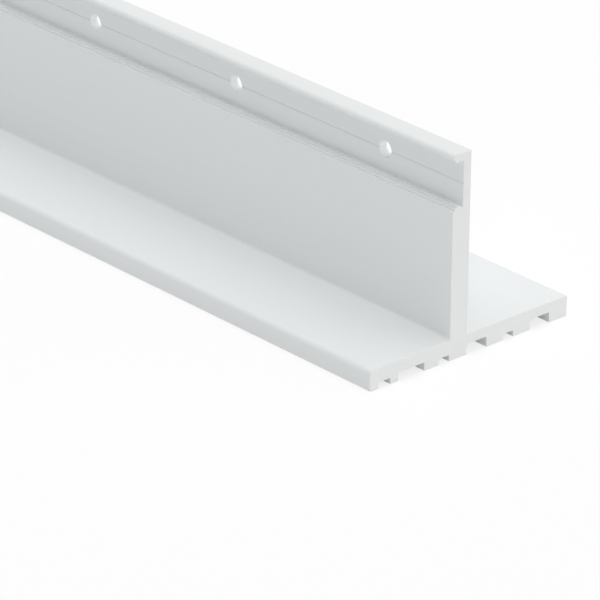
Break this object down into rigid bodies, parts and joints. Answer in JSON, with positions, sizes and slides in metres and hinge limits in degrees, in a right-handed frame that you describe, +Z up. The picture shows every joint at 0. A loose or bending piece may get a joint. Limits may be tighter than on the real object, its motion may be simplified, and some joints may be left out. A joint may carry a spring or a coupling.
{
  "type": "t-profile trim",
  "caption": "Extruded white plastic T profile trim with a keyed flange, an off-centre web, a clip recess with lip and V line, and a row of small screw holes.",
  "frame": {"origin": "middle of the underside of the flange, at the middle of the bar's length", "axes": "+X across the flange towards the wider wing, +Y along the bar, +Z up along the web; the recess faces -X"},
  "size_m": [0.06, 1, 0.0492],
  "materials": {
    "white_plastic": "satin extruded rigid plastic, white"
  },
  "bodies": {
    "root": {"t_profile": "white_plastic"}
  },
  "joints": []
}
